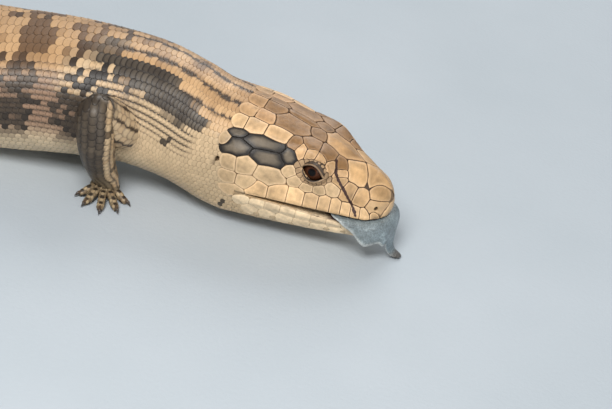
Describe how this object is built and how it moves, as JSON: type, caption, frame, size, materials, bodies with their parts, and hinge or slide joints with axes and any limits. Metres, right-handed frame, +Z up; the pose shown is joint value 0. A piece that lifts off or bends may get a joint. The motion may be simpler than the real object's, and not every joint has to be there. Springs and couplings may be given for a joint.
{
  "type": "blue tongued skink",
  "caption": "Broad-headed lizard lying low on its belly, neck raised, short legs out to the sides, its wide blue tongue hanging from the mouth to the ground.",
  "frame": {"origin": "on the ground, on the flat of the belly under the middle of the trunk", "axes": "+X forward along the trunk, +Y to the animal's left, +Z up"},
  "size_m": [0.3564, 0.0941, 0.0361],
  "materials": {
    "scaled_skin": "glossy overlapping scales, tan with dark brown bars",
    "pale_skin": "smooth cream scales with fine dark seams",
    "dark_skin": "satin charcoal scales with pale edges",
    "tongue": "moist steel blue with fine bumps and a pale edge",
    "eye": "wet, dark reddish brown with a round black pupil"
  },
  "bodies": {
    "root": {"head": "scaled_skin", "lower_jaw": "pale_skin", "tongue": "tongue", "eye_right": "eye", "eye_left": "eye", "neck": "scaled_skin", "torso": "scaled_skin", "tail_base": "scaled_skin", "tail_middle": "scaled_skin", "tail_end": "scaled_skin", "foreleg_right": "dark_skin", "forefoot_right": "dark_skin", "foreleg_left": "dark_skin", "forefoot_left": "dark_skin", "hindleg_right": "dark_skin", "hindfoot_right": "dark_skin", "hindleg_left": "dark_skin", "hindfoot_left": "dark_skin"}
  },
  "joints": []
}
